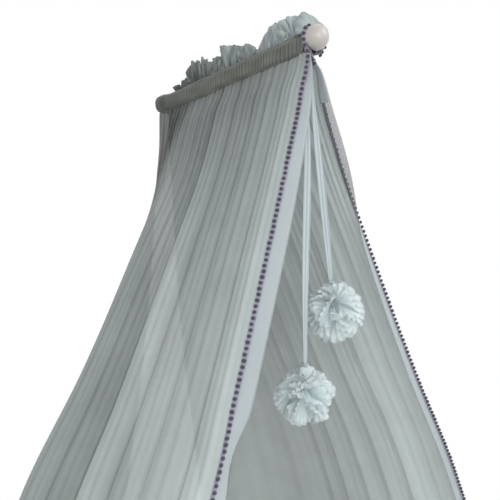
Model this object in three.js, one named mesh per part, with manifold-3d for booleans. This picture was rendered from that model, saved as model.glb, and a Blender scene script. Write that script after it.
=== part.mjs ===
// Bed crown canopy: a wooden rod on a wall rosette, with a ball on its free end, carries one gathered
// voile cloth. The cloth stands up in a ruffled heading, runs round the rod in a ruched channel and
// falls as a left and a right drop. A bobble trim edges its front, and two tulle pom-poms hang on
// ribbons tied behind the ball.
// Lengths are millimetres. The origin is the middle of the rosette's back, on the wall. The rod runs
// towards -Y, +X is to the right seen from the front, and +Z is up.

import * as THREE from 'three';
import { mergeVertices } from 'three/addons/utils/BufferGeometryUtils.js';
import Module from 'manifold-3d';

const wasm = await Module();
wasm.setup();

// Driving dimensions
const rodReach = 600;
const rodRadius = 14;
const ballRadius = 24;
const rosetteRadius = 20;
const rosetteDepth = 14;
const headingHeight = 71;
const dropLength = 1897;
const dropSpread = 605;
const frontReach = 84;
const clothThickness = 2.4;
const hemBandWidth = 32;
const trimWidth = 9;
const trimThickness = 2.4;
const upperPompomRadius = 65;
const upperPompomHang = 523;
const lowerPompomRadius = 63;
const lowerPompomHang = 676;
const seatGap = 0.3;

const turn = 2 * Math.PI;
const halfTurn = Math.PI;
const half = 0.5;

// Colours as the pieces look in daylight
const paint = { color: 0xe6e2dc, roughness: 0.35, metalness: 0 };
const bareWood = { color: 0xd9b98a, roughness: 0.6, metalness: 0 };
const steel = { color: 0xb8b9ba, roughness: 0.35, metalness: 1 };
const voile = { color: 0xa3aeb0, roughness: 0.9, metalness: 0 };
const gatheredVoile = { color: 0x7f857f, roughness: 0.9, metalness: 0 };
const ribbonVoile = { color: 0xb4c1c6, roughness: 0.85, metalness: 0 };
const tulle = { color: 0xc6d6dd, roughness: 0.9, metalness: 0 };
const bobbleTape = { color: 0x7c6f96, roughness: 0.85, metalness: 0 };

const canopy = new THREE.Group();

// Turns a closed mesh so that its faces point out, by the sign of the volume that it encloses.
function facingOut(geometry) {
  const position = geometry.attributes.position;
  const index = geometry.index.array;
  const corners = [new THREE.Vector3(), new THREE.Vector3(), new THREE.Vector3()];
  let volume = 0;
  for (let start = 0; start < index.length; start += 3) {
    corners.forEach((corner, place) => corner.fromBufferAttribute(position, index[start + place]));
    volume += corners[0].dot(corners[1].cross(corners[2]));
  }
  if (volume < 0) {
    for (let start = 0; start < index.length; start += 3) {
      [index[start], index[start + 1]] = [index[start + 1], index[start]];
    }
  }
  return geometry;
}

function addPiece(parent, name, geometry, finish) {
  const mesh = new THREE.Mesh(facingOut(geometry), new THREE.MeshStandardMaterial(finish));
  mesh.name = name;
  parent.add(mesh);
  return mesh;
}

// Revolves [radius, place] pairs about the Y axis, along which the rod lies.
function turned(profile, sides) {
  return new THREE.LatheGeometry(profile.map(([radius, place]) => new THREE.Vector2(radius, place)), sides);
}

// Joins rings of points into one closed body: looped end to end, or with a fan over each end. Where
// a ring goes along one face of a strip and back along the other, both faces are split alike, so
// that a twisted strip keeps its thickness.
function loft(rings, looped, twoFaced = false) {
  const around = rings[0].length;
  const index = [];
  const spans = looped ? rings.length : rings.length - 1;
  for (let ring = 0; ring < spans; ring += 1) {
    const here = ring * around;
    const there = ((ring + 1) % rings.length) * around;
    for (let step = 0; step < around; step += 1) {
      const next = (step + 1) % around;
      if (twoFaced && step >= around * half) {
        index.push(here + step, here + next, there + step);
        index.push(here + next, there + next, there + step);
      } else {
        index.push(here + step, here + next, there + next);
        index.push(here + step, there + next, there + step);
      }
    }
  }
  if (!looped) {
    const last = (rings.length - 1) * around;
    for (let step = 1; step < around - 1; step += 1) {
      index.push(0, step + 1, step);
      index.push(last, last + step, last + step + 1);
    }
  }
  const geometry = new THREE.BufferGeometry();
  const places = rings.flat().flatMap((point) => point.toArray());
  geometry.setAttribute('position', new THREE.Float32BufferAttribute(places, 3));
  geometry.setIndex(index);
  return geometry;
}

// Gives a sheet its thickness: the ring of each row goes along the outer face and back along the
// inner one. Both faces lie half the thickness from the middle rows, square to the sheet, and the
// first and last rows are kept level.
function thickSheet(rows, thickness) {
  const rings = rows.map((row, level) => {
    const above = rows[Math.max(level - 1, 0)];
    const below = rows[Math.min(level + 1, rows.length - 1)];
    const onEdge = level === 0 || level === rows.length - 1;
    const offsets = row.map((point, column) => {
      const along = row[Math.min(column + 1, row.length - 1)].clone().sub(row[Math.max(column - 1, 0)]);
      const down = below[column].clone().sub(above[column]);
      const normal = along.cross(down);
      if (onEdge) {
        normal.z = 0;
      }
      return normal.setLength(thickness * half);
    });
    const outer = row.map((point, column) => point.clone().add(offsets[column]));
    const inner = row.map((point, column) => point.clone().sub(offsets[column]));
    return [...outer, ...inner.reverse()];
  });
  return rings;
}

// A thick sheet is closed at its first and last rows by strips between its two faces.
function sheetBody(rows, thickness) {
  const rings = thickSheet(rows, thickness);
  const around = rings[0].length;
  const columns = around / 2;
  const geometry = loft(rings, false, true);
  const sideFaces = (rings.length - 1) * around * 6;
  const index = Array.from(geometry.index.array.slice(0, sideFaces));
  const last = (rings.length - 1) * around;
  for (let column = 0; column < columns - 1; column += 1) {
    const facing = around - 1 - column;
    index.push(column, facing, facing - 1, column, facing - 1, column + 1);
    index.push(last + column, last + facing - 1, last + facing);
    index.push(last + column, last + column + 1, last + facing - 1);
  }
  geometry.setIndex(index);
  return geometry;
}

// Solid for cutting: shared vertices merged and flat triangles dropped.
function toSolid(geometry) {
  const plain = geometry.clone();
  plain.deleteAttribute('normal');
  plain.deleteAttribute('uv');
  const merged = facingOut(mergeVertices(plain));
  const triangles = [];
  for (let start = 0; start < merged.index.count; start += 3) {
    const [a, b, c] = merged.index.array.slice(start, start + 3);
    if (a !== b && b !== c && c !== a) {
      triangles.push(a, b, c);
    }
  }
  return new wasm.Manifold(new wasm.Mesh({
    numProp: 3,
    vertProperties: new Float32Array(merged.attributes.position.array),
    triVerts: new Uint32Array(triangles),
  }));
}

function fromSolid(solid) {
  const mesh = solid.getMesh();
  const geometry = new THREE.BufferGeometry();
  geometry.setAttribute('position', new THREE.BufferAttribute(mesh.vertProperties, mesh.numProp));
  geometry.setIndex(new THREE.BufferAttribute(mesh.triVerts, 1));
  return geometry;
}

// Wall rosette: a turned wooden disc with a rounded rim and a recess that seats the rod's end. In the
// recess are a blind hole for the hanger screw and three countersunk screw holes.
const rimDepth = 5;
const rosetteFaceRadius = 16;
const rosetteSides = 36;
const rimArcSteps = 5;
const recessDepth = 4;
const hangerRadius = 2.5;
const hangerHoleRadius = hangerRadius + seatGap;
const backWeb = 2;
const recessFloor = rosetteDepth - recessDepth;

const rosetteProfile = [[0, 0], [rosetteRadius, 0]];
for (let step = 0; step <= rimArcSteps; step += 1) {
  const angle = (step / rimArcSteps) * halfTurn * half;
  const radius = rosetteFaceRadius + (rosetteRadius - rosetteFaceRadius) * Math.cos(angle);
  rosetteProfile.push([radius, -rimDepth - (rosetteDepth - rimDepth) * Math.sin(angle)]);
}
rosetteProfile.push([rodRadius + seatGap, -rosetteDepth]);
rosetteProfile.push([rodRadius + seatGap, -recessFloor]);
rosetteProfile.push([hangerHoleRadius, -recessFloor]);
rosetteProfile.push([hangerHoleRadius, -backWeb]);
rosetteProfile.push([0, -backWeb]);

// Rosette screws: their countersunk heads lie in the recess, under the rod's end, and the threaded
// ends stand out of the rosette's back for the wall
const screwCount = 3;
const screwCircle = 8.5;
const screwHeadRadius = 3.5;
const screwHeadHeight = 2.6;
const screwHeadPlace = -recessFloor + seatGap;
const screwRadius = 1.75;
const screwStandOut = 20;
const screwTip = 4;
const screwSides = 16;
const screwStartAngle = halfTurn * half;
const cutOverrun = 10;

const screwProfile = [
  [0, screwHeadPlace],
  [screwHeadRadius, screwHeadPlace],
  [screwRadius, screwHeadPlace + screwHeadHeight],
  [screwRadius, screwStandOut - screwTip],
  [0, screwStandOut],
];
const screwHoleProfile = [
  [0, -rosetteDepth - cutOverrun],
  [screwHeadRadius + seatGap, -rosetteDepth - cutOverrun],
  [screwHeadRadius + seatGap, screwHeadPlace],
  [screwRadius + seatGap, screwHeadPlace + screwHeadHeight],
  [screwRadius + seatGap, cutOverrun],
  [0, cutOverrun],
];

let rosette = toSolid(turned(rosetteProfile, rosetteSides));
for (let screw = 0; screw < screwCount; screw += 1) {
  const angle = screwStartAngle + (screw / screwCount) * turn;
  const place = new THREE.Vector3(screwCircle * Math.cos(angle), 0, screwCircle * Math.sin(angle));
  const hole = turned(screwHoleProfile, screwSides).translate(place.x, place.y, place.z);
  rosette = rosette.subtract(toSolid(hole));
  addPiece(canopy, `rosette_screw_${screw + 1}`, turned(screwProfile, screwSides), steel).position.copy(place);
}
addPiece(canopy, 'wall_rosette', fromSolid(rosette), paint);

// Rod: a turned dowel seated in the rosette's recess, bored at both ends for the double-ended screws
const rodSides = 28;
const ballSeat = -rodReach + Math.sqrt(ballRadius ** 2 - rodRadius ** 2);
const rodWallEnd = -recessFloor - seatGap;
const rodFreeEnd = ballSeat + seatGap;
const hangerGrip = 48;
const dowelRadius = 2.5;
const dowelHoleRadius = dowelRadius + seatGap;
const dowelGripInRod = 30;
const dowelGripInBall = 22;

addPiece(canopy, 'rod', turned([
  [0, rodWallEnd - hangerGrip - seatGap],
  [hangerHoleRadius, rodWallEnd - hangerGrip - seatGap],
  [hangerHoleRadius, rodWallEnd],
  [rodRadius, rodWallEnd],
  [rodRadius, rodFreeEnd],
  [dowelHoleRadius, rodFreeEnd],
  [dowelHoleRadius, rodFreeEnd + dowelGripInRod + seatGap],
  [0, rodFreeEnd + dowelGripInRod + seatGap],
], rodSides), bareWood);

// Double-ended screws: pointed at both ends, one holding the rod to the rosette and one the ball to
// the rod
const dowelTip = 5;
const dowelSides = 12;

function doubleEndedScrew(radius, from, to) {
  return turned([[0, from], [radius, from + dowelTip], [radius, to - dowelTip], [0, to]], dowelSides);
}
const hangerScrew = doubleEndedScrew(hangerRadius, rodWallEnd - hangerGrip, -backWeb - seatGap);
addPiece(canopy, 'rod_hanger_screw', hangerScrew, steel);
const dowelScrew = doubleEndedScrew(dowelRadius, ballSeat - dowelGripInBall, rodFreeEnd + dowelGripInRod);
addPiece(canopy, 'finial_dowel_screw', dowelScrew, steel);

// Ball: a sphere with a flat seat the width of the rod and a blind hole for the dowel screw
const ballSides = 28;
const ballArcSteps = 12;
const seatAngle = Math.asin(rodRadius / ballRadius);
const ballHoleEnd = ballSeat - dowelGripInBall - seatGap;

const ballProfile = [[0, ballHoleEnd], [dowelHoleRadius, ballHoleEnd], [dowelHoleRadius, ballSeat]];
for (let step = 0; step < ballArcSteps; step += 1) {
  const angle = seatAngle + (step / ballArcSteps) * (halfTurn - seatAngle);
  ballProfile.push([ballRadius * Math.sin(angle), -rodReach + ballRadius * Math.cos(angle)]);
}
ballProfile.push([0, -rodReach - ballRadius]);
addPiece(canopy, 'ball_finial', turned(ballProfile, ballSides), paint);

// Rod channel: the cloth's sleeve. It hugs the rod above and hangs slack below it, and its gathers
// are ridges that lean along the rod. The stretch next to the wall isn't gathered: it widens and is
// drawn over the rosette.
const channelFront = -rodReach + 30;
const channelRear = -1.5;
const gatherStart = -119;
const channelSides = 16;
const channelSlack = 14;
const valleyWall = 1.2;
const gatherDepth = 2.6;
const gatherCount = 30;
const gatherLean = 0.2;
const channelBore = (rodRadius + seatGap) / Math.cos(halfTurn / channelSides);
const channelCrest = channelBore + valleyWall + gatherDepth;
const channelBottom = -channelSlack - channelCrest * Math.cos(halfTurn / channelSides);
const coverGap = 0.5;
const coverLap = 3;
const coverBore = (rosetteRadius + coverGap) / Math.cos(halfTurn / channelSides);
const rearPlaces = [gatherStart, -90, -52, -rosetteDepth - coverLap, channelRear];
const rearWidthShares = [0, 0.16, 0.6, 1, 1];
const rearSlackShares = [1, 0.86, 0.6, 0.36, 0.36];

function channelRing(place, radius, lean, slack = channelSlack) {
  const points = [];
  for (let side = 0; side < channelSides; side += 1) {
    const angle = ((side + half) / channelSides) * turn;
    const lift = Math.sin(angle) < 0 ? -slack : 0;
    const height = radius * Math.sin(angle) + lift;
    points.push(new THREE.Vector3(radius * Math.cos(angle), place + lean * height, height));
  }
  return points;
}

const channelRings = [];
for (let step = 0; step <= gatherCount * 2; step += 1) {
  const place = channelFront + (gatherStart - channelFront) * (step / (gatherCount * 2));
  const radius = step % 2 === 0 ? channelBore + valleyWall : channelCrest;
  channelRings.push(channelRing(place, radius, step === 0 ? 0 : gatherLean));
}
const rearRings = (thickness) => rearPlaces.map((place, step) => channelRing(
  place,
  THREE.MathUtils.lerp(channelBore, coverBore, rearWidthShares[step]) + thickness,
  0,
  channelSlack * rearSlackShares[step],
));
channelRings.push(...rearRings(clothThickness).slice(1));
channelRings.push(...rearRings(0).reverse());
channelRings.push(channelRing(channelFront, channelBore, 0));
addPiece(canopy, 'header_sleeve', loft(channelRings, true), gatheredVoile);

// Heading: the ruffled loop of cloth that stands on the channel. Its folds widen upwards, and its
// height rises and dips in clumps along the rod.
const headingFoot = channelCrest + seatGap;
const headingFront = channelFront + 4;
const headingRear = -95;
const ruffleColumns = 6;
const ruffleLoop = 7;
const footSwing = 3.5;
const topSwing = 15;
const headingRowShares = [1, 0.66, 0.33, 0];
const headingTopShares = [
  0.79, 0.87, 0.72, 0.95, 0.87, 0.47, 0.66, 0.79, 0.95, 0.97, 0.75, 0.84, 0.95, 0.89, 0.53, 0.34,
];
const ruffleCount = headingTopShares.length - 1;

const headingRows = headingRowShares.map((rise) => {
  const row = [];
  for (let column = 0; column <= ruffleCount * ruffleColumns; column += 1) {
    const ruffle = column / ruffleColumns;
    const first = Math.floor(ruffle);
    const share = THREE.MathUtils.lerp(
      headingTopShares[first],
      headingTopShares[Math.min(first + 1, ruffleCount)],
      ruffle - first,
    );
    const top = headingHeight * share;
    const swing = THREE.MathUtils.lerp(footSwing, topSwing, rise);
    const angle = ruffle * turn;
    const place = headingFront + (headingRear - headingFront) * (ruffle / ruffleCount);
    row.push(new THREE.Vector3(
      swing * Math.sin(angle),
      place - ruffleLoop * rise * Math.sin(2 * angle),
      THREE.MathUtils.lerp(headingFoot, top, rise),
    ));
  }
  return row;
});
addPiece(canopy, 'header_frill', sheetBody(headingRows, clothThickness), voile);

// Drops: seen from above, each runs from its front hem band, past the trim's line, back to a rounded
// rear corner and in to the wall. The rows are levels down the cloth. Each table of shares gives one
// value per row: of the drop's length, of its spread, of the front's reach or of the band's width.
const rowShares = [0, 0.036, 0.1, 0.2, 0.34, 0.47, 0.62, 0.685, 0.75, 1];
const leftFrontShares = [0.02, 0.047, 0.103, 0.206, 0.36, 0.504, 0.636, 0.677, 0.703, 0.727];
const leftCornerShares = [0.005, 0.046, 0.107, 0.262, 0.489, 0.724, 0.893, 0.95, 0.98, 1];
const rightFrontShares = [0.02, 0.054, 0.115, 0.257, 0.474, 0.701, 0.905, 0.957, 0.985, 1];
const rightCornerShares = [0.005, 0.043, 0.099, 0.223, 0.413, 0.61, 0.785, 0.845, 0.885, 0.91];
const wallEdgeShares = [0.024, 0.024, 0.04, 0.06, 0.1, 0.157, 0.215, 0.232, 0.241, 0.248];
const reachShares = [0, 0.24, 0.38, 0.52, 0.73, 0.87, 0.95, 0.968, 0.982, 1];
const bandShares = [0.35, 0.6, 0.85, 1, 1, 1, 1, 1, 1, 1];
const leftBandTurnShares = [0, 0.6, 0.9, 1, 1, 1, 1, 1, 1, 1];
const rightBandTurnShares = [0, -0.17, 0, 0.75, 0.92, 1, 1, 1, 1, 1];
const foldDepthShares = [0.22, 0.35, 0.5, 0.68, 0.85, 1, 1, 1, 1, 1];
const foldSizeShares = [0.8, 1, 0.7, 0.95, 0.6, 1, 0.75, 0.9, 0.65, 1, 0.5];
const foldDepth = 19;
const foldColumns = 6;
const foldCount = foldSizeShares.length;
const leftBandTurn = THREE.MathUtils.degToRad(51);
const rightBandTurn = THREE.MathUtils.degToRad(86);
const frontHemPlace = channelFront + 12;
const cornerPlace = gatherStart;
const cornerDrift = 50;
const wallEdgePlace = -12;
const cornerShare = 0.82;
const cornerSoftShare = 0.12;
const dropTop = channelBottom - seatGap;
const leastOffset = clothThickness * half + seatGap * half;

// A path that goes straight to a corner and straight on from it, with the corner rounded: the first
// leg's progress runs out as the second's begins.
function legs(along) {
  const early = cornerShare - cornerSoftShare;
  const late = cornerShare + cornerSoftShare;
  if (along <= early) {
    return [along / cornerShare, 0];
  }
  if (along >= late) {
    return [1, (along - cornerShare) / (1 - cornerShare)];
  }
  const first = 1 - (late - along) ** 2 / (4 * cornerSoftShare * cornerShare);
  const second = (along - early) ** 2 / (4 * cornerSoftShare * (1 - cornerShare));
  return [first, second];
}

// One row of a drop, and the line of the trim on it. Side is -1 for the left and 1 for the right.
function dropRow(level, side, frontShares, cornerShares, turnShares, bandTurn) {
  const height = dropTop - dropLength * rowShares[level];
  const trimLine = new THREE.Vector2(
    side * dropSpread * frontShares[level],
    frontHemPlace - frontReach * reachShares[level],
  );
  const corner = new THREE.Vector2(
    side * dropSpread * cornerShares[level],
    cornerPlace - cornerDrift * rowShares[level],
  );
  const wallEdge = new THREE.Vector2(side * dropSpread * wallEdgeShares[level], wallEdgePlace);
  const bandAngle = bandTurn * turnShares[level];
  const bandWay = new THREE.Vector2(-side * Math.sin(bandAngle), -Math.cos(bandAngle));
  const points = [
    trimLine.clone().addScaledVector(bandWay, hemBandWidth * bandShares[level]),
    trimLine.clone().addScaledVector(bandWay, trimWidth * half),
    trimLine.clone().addScaledVector(bandWay, -trimWidth * half),
  ];
  const start = points[2];
  const columns = foldCount * foldColumns;
  const path = (along) => {
    const [first, second] = legs(along);
    const point = start.clone().lerp(corner, first);
    return point.add(wallEdge.clone().sub(corner).multiplyScalar(second));
  };
  for (let column = 1; column <= columns; column += 1) {
    const along = column / columns;
    const ahead = path(Math.min(along + 1 / columns, 1)).sub(path(along - 1 / columns));
    const outward = new THREE.Vector2(ahead.y, -ahead.x).multiplyScalar(side).normalize();
    const size = foldSizeShares[Math.min(Math.floor(column / foldColumns), foldCount - 1)];
    const ease = column === columns ? 0 : 1;
    const depth = foldDepth * foldDepthShares[level] * size * ease;
    const wave = 1 - Math.cos((column / foldColumns) * turn);
    points.push(path(along).addScaledVector(outward, depth * wave * half));
  }
  return {
    points: points.map((point) => new THREE.Vector3(
      side * Math.max(side * point.x, leastOffset),
      point.y,
      height,
    )),
    outward: new THREE.Vector3(-bandWay.y * side, bandWay.x * side, 0),
  };
}

function dropRows(side, frontShares, cornerShares, turnShares, bandTurn) {
  return rowShares.map((share, level) => dropRow(
    level,
    side,
    frontShares,
    cornerShares,
    turnShares,
    bandTurn,
  ));
}

const leftRows = dropRows(-1, leftFrontShares, leftCornerShares, leftBandTurnShares, leftBandTurn);
const rightRows = dropRows(1, rightFrontShares, rightCornerShares, rightBandTurnShares, rightBandTurn);
addPiece(canopy, 'left_drop', sheetBody(leftRows.map((row) => row.points), clothThickness), voile);
addPiece(canopy, 'right_drop', sheetBody(rightRows.map((row) => row.points), clothThickness), voile);

// Drop trims: tape with bobbles, sewn on the outer face of each drop where its hem band begins
const trimLift = seatGap * 2;

// The outer face is the first half of each ring on the left drop and the second half on the right.
function dropTrim(rows, side) {
  const rings = thickSheet(rows.map((row) => row.points), clothThickness).map((ring, level) => {
    const first = side < 0 ? ring[1] : ring[ring.length - 2];
    const second = side < 0 ? ring[2] : ring[ring.length - 3];
    const under = rows[level].outward.clone().setLength(trimLift);
    const over = rows[level].outward.clone().setLength(trimLift + trimThickness);
    return [
      first.clone().add(over),
      second.clone().add(over),
      second.clone().add(under),
      first.clone().add(under),
    ];
  });
  return loft(rings, false, true);
}
addPiece(canopy, 'left_bobble_trim', dropTrim(leftRows, -1), bobbleTape);
addPiece(canopy, 'right_bobble_trim', dropTrim(rightRows, 1), bobbleTape);

// Heading trim: the same tape round the channel's front end, arched forward and to the right over
// the ball's back
const headTrimPlace = channelFront + 6;
const headTrimRadius = channelCrest + seatGap + trimThickness * half;
const archRise = 26;
const archLean = 14;
const archShift = 12;
const headTrimSteps = 26;
const headTrimOpening = THREE.MathUtils.degToRad(44);

const headTrimRings = [];
for (let step = 0; step <= headTrimSteps; step += 1) {
  const angle = -halfTurn * half - headTrimOpening - (step / headTrimSteps) * (turn - 2 * headTrimOpening);
  const arch = Math.max(Math.sin(angle), 0) ** 2;
  const ring = [];
  const corners = [[1, 1], [-1, 1], [-1, -1], [1, -1]];
  corners.forEach(([across, through]) => {
    const radius = headTrimRadius + archRise * arch + through * trimThickness * half;
    const lift = Math.sin(angle) < 0 ? -channelSlack : 0;
    ring.push(new THREE.Vector3(
      radius * Math.cos(angle) + archShift * arch,
      headTrimPlace - archLean * arch + across * trimWidth * half,
      radius * Math.sin(angle) + lift,
    ));
  });
  headTrimRings.push(ring);
}
addPiece(canopy, 'header_bobble_trim', loft(headTrimRings, false), bobbleTape);

// Pom-poms: each hangs on a ribbon from a loop that is tied round the rod just behind the ball. The
// knots lie to either side of the middle, so that the ribbons hang beside each other. The upper
// pom-pom leans aside, resting against the lower one's ribbon.
const loopWidth = 4.4;
const loopThickness = 2;
const loopBore = (rodRadius + seatGap) / Math.cos(halfTurn / rodSides);
const loopGap = 0.4;
const knotRadius = 3.6;
const knotSides = 12;
const knotDrop = loopBore + loopThickness + knotRadius * half;
const knotTurn = THREE.MathUtils.degToRad(14.3);
const ribbonThickness = 1.4;
const ribbonKnotWidth = 6;
const ribbonWidth = 17;
const ribbonEndWidth = 8;
const ribbonRowShares = [0, 0.05, 0.16, 0.3, 0.5, 0.75, 0.92, 1];
const ribbonWidthShares = [0, 0, 0.15, 0.75, 0.9, 0.55, 0.2, 0];
const tieBore = 4.8;
const tieRadius = 8;
const tieHeight = 5;
const tieSides = 16;
const pompomTiers = 11;
const pompomSides = 22;
const petalCount = 11;
const petalDepthShare = 0.13;
const crownShare = 0.93;

// A loop round the rod with its knot: a turned ring and a short bar across it, joined.
function ribbonLoop() {
  const outer = loopBore + loopThickness;
  const edge = loopWidth * half;
  const band = [[loopBore, -edge], [outer, -edge], [outer, edge], [loopBore, edge], [loopBore, -edge]];
  const knot = new THREE.CylinderGeometry(knotRadius, knotRadius, loopWidth, knotSides);
  knot.translate(0, 0, -knotDrop);
  return fromSolid(toSolid(turned(band, rodSides)).add(toSolid(knot)));
}

// A flat ribbon between two heights, narrow where it is knotted at either end.
function ribbon(top, bottom) {
  const rings = ribbonRowShares.map((share, row) => {
    const endWidth = THREE.MathUtils.lerp(ribbonKnotWidth, ribbonEndWidth, share);
    const across = THREE.MathUtils.lerp(endWidth, ribbonWidth, ribbonWidthShares[row]) * half;
    const through = ribbonThickness * half;
    const height = THREE.MathUtils.lerp(top, bottom, share);
    return [
      new THREE.Vector3(across, through, height),
      new THREE.Vector3(-across, through, height),
      new THREE.Vector3(-across, -through, height),
      new THREE.Vector3(across, -through, height),
    ];
  });
  return loft(rings, false);
}

// A ball of gathered petals: the sphere's radius dips between petals, and alternate tiers are turned
// by half a petal. Its crown is flattened where the tie sits.
function pompom(radius, middle) {
  const rings = [];
  for (let tier = 0; tier < pompomTiers; tier += 1) {
    const ring = [];
    const slope = ((tier + half) / pompomTiers) * halfTurn;
    for (let side = 0; side < pompomSides; side += 1) {
      const angle = (side / pompomSides) * turn;
      const petal = half - half * Math.cos(petalCount * angle + tier * halfTurn);
      const reach = radius * (1 - petalDepthShare * petal);
      const height = Math.min(reach * Math.cos(slope), radius * crownShare);
      ring.push(new THREE.Vector3(
        reach * Math.sin(slope) * Math.cos(angle),
        reach * Math.sin(slope) * Math.sin(angle),
        middle + height,
      ));
    }
    rings.push(ring);
  }
  return loft(rings, false);
}

// Place is where the loop sits along the rod, and hang is from its knot to the pom-pom's middle.
function hungPompom(name, place, knotAngle, lean, hang, radius) {
  const loop = new THREE.Group();
  loop.position.y = place;
  loop.rotation.y = knotAngle;
  canopy.add(loop);
  addPiece(loop, `${name}_ribbon_loop`, ribbonLoop(), ribbonVoile);

  const fall = new THREE.Group();
  fall.position.set(-knotDrop * Math.sin(knotAngle), place, -knotDrop * Math.cos(knotAngle));
  fall.rotation.y = lean;
  canopy.add(fall);
  const tieFoot = -hang + radius * crownShare + seatGap;
  addPiece(fall, `${name}_ribbon`, ribbon(-knotRadius - seatGap, tieFoot), ribbonVoile);
  const tie = turned([
    [tieBore, 0],
    [tieRadius, 0],
    [tieRadius, tieHeight],
    [tieBore, tieHeight],
    [tieBore, 0],
  ], tieSides);
  tie.rotateX(halfTurn * half).translate(0, 0, tieFoot);
  addPiece(fall, `${name}_pompom_tie`, tie, ribbonVoile);
  addPiece(fall, `${name}_pompom`, pompom(radius, -hang), tulle);
}

const lowerLoopPlace = channelFront - seatGap - loopWidth * half;
const upperLoopPlace = lowerLoopPlace - loopWidth - loopGap;
const upperLean = THREE.MathUtils.degToRad(-7.6);
hungPompom('lower', lowerLoopPlace, knotTurn, 0, lowerPompomHang, lowerPompomRadius);
hungPompom('upper', upperLoopPlace, -knotTurn, upperLean, upperPompomHang, upperPompomRadius);

export default canopy;
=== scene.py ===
import math

import bmesh
import bpy
import numpy as np
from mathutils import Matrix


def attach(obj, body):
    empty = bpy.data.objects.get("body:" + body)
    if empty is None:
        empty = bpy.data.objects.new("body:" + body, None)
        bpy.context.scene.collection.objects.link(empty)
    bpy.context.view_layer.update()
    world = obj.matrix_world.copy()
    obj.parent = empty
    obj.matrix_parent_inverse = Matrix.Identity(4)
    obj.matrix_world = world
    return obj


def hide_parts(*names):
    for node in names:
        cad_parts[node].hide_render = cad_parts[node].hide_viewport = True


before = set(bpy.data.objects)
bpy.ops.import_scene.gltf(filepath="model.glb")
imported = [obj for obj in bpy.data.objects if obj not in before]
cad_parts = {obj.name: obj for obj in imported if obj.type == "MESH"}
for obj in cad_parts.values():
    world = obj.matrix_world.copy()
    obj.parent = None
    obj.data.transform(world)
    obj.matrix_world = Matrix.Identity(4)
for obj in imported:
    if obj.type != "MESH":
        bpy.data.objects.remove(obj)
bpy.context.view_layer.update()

# Camera: it stands level, to the left of the canopy and below its rod, and is turned towards the
# opening between the two drops.
camera_place = (-0.737, -1.315, -0.409)
camera_turn = math.radians(-38.7)
sensor_width = 36
lens_length = 38.16

camera_data = bpy.data.cameras.new("camera")
camera_data.sensor_width = sensor_width
camera_data.lens = lens_length
camera = bpy.data.objects.new("camera", camera_data)
camera.location = camera_place
camera.rotation_euler = (math.radians(90), 0, camera_turn)
bpy.context.scene.collection.objects.link(camera)
bpy.context.scene.camera = camera


# Room: a pale floor just under the hems, which fades out into a white room, a soft lamp high in
# front, one low in front that shines into the opening, and weaker ones on the left and behind.
floor_height = -1.936
floor_radius = 3.2
floor_sides = 96
floor_fade_start = 1.0
floor_fade_end = 1.9
sky_level = 0.70
lamp_aim = (0, -0.35, -0.6)
# Each lamp's place, size and power
lamps = {
    "key_lamp": ((1.5, -2.9, 1.7), 2.4, 54),
    "front_lamp": ((-1.3, -3.0, -0.2), 1.8, 34),
    "fill_lamp": ((-2.9, -1.6, 0.4), 2.6, 12),
    "back_lamp": ((0.6, 2.6, 0.9), 2.4, 22),
}


def node(tree, kind, inputs=(), **settings):
    """A shader node of that kind. Its inputs are sockets, each with a value or the output that feeds it."""
    made = tree.nodes.new("ShaderNode" + kind)
    for name, value in settings.items():
        setattr(made, name, value)
    for socket, value in dict(inputs).items():
        if isinstance(value, bpy.types.NodeSocket):
            tree.links.new(value, made.inputs[socket])
        else:
            made.inputs[socket].default_value = value
    return made


def srgb(red, green, blue):
    """A colour given as 0 to 255 in sRGB, as linear light with full alpha."""
    share = np.array([red, green, blue]) / 255
    linear = np.where(share <= 0.04045, share / 12.92, ((share + 0.055) / 1.055) ** 2.4)
    return (*linear.tolist(), 1.0)


def finish(name, sockets):
    """A material with one Principled shader, whose plain sockets are set, and its node tree."""
    material = bpy.data.materials.new(name)
    material.use_nodes = True
    tree = material.node_tree
    shader = tree.nodes["Principled BSDF"]
    for socket, value in sockets.items():
        shader.inputs[socket].default_value = value
    return material, tree, shader


def cell_corners(grid):
    """The values at the four corners of each cell of a grid, in order round the cell."""
    return np.stack([grid[:-1, :-1], grid[1:, :-1], grid[1:, 1:], grid[:-1, 1:]], axis=2)


def grid_mesh(name, points, uv=None, wraps=False):
    """A smooth mesh over a grid of points, with one quad between each two rows and columns.
    With wraps, the last column joins the first."""
    rows, columns = points.shape[:2]
    index = np.arange(rows * columns).reshape(rows, columns)
    if wraps:
        index = np.concatenate([index, index[:, :1]], axis=1)
    quads = cell_corners(index).reshape(-1, 4)
    mesh = bpy.data.meshes.new(name)
    mesh.from_pydata(points.reshape(-1, 3), [], quads)
    mesh.polygons.foreach_set("use_smooth", np.ones(len(quads), bool))
    if uv is not None:
        if wraps:
            uv = np.concatenate([uv, uv[:, -1:] * 2 - uv[:, -2:-1]], axis=1)
        layer = mesh.uv_layers.new(name="cloth")
        layer.data.foreach_set("uv", cell_corners(uv).reshape(-1).astype(np.float32))
    return mesh


def add_piece(name, mesh, material, body, replaced=()):
    """Puts a mesh in the scene with its material, riding on a body, for the CAD nodes it replaces."""
    piece = bpy.data.objects.new(name, mesh)
    bpy.context.scene.collection.objects.link(piece)
    for layer in material if isinstance(material, (list, tuple)) else [material]:
        mesh.materials.append(layer)
    if body:
        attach(piece, body)
    if replaced:
        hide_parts(*replaced)
    return piece


def grid_of(*parts):
    """One grid from arrays that broadcast: points from three, places on the cloth from two."""
    return np.stack(np.broadcast_arrays(*parts), axis=-1)


def full_turn(steps):
    """Angles at even steps once round."""
    return np.linspace(0, 2 * np.pi, steps, endpoint=False)


def noise(tree, where, scale, detail, roughness=0.5):
    """The grey of a noise texture."""
    inputs = {"Vector": where, "Scale": scale, "Detail": detail, "Roughness": roughness}
    return node(tree, "TexNoise", inputs).outputs["Fac"]


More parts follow.
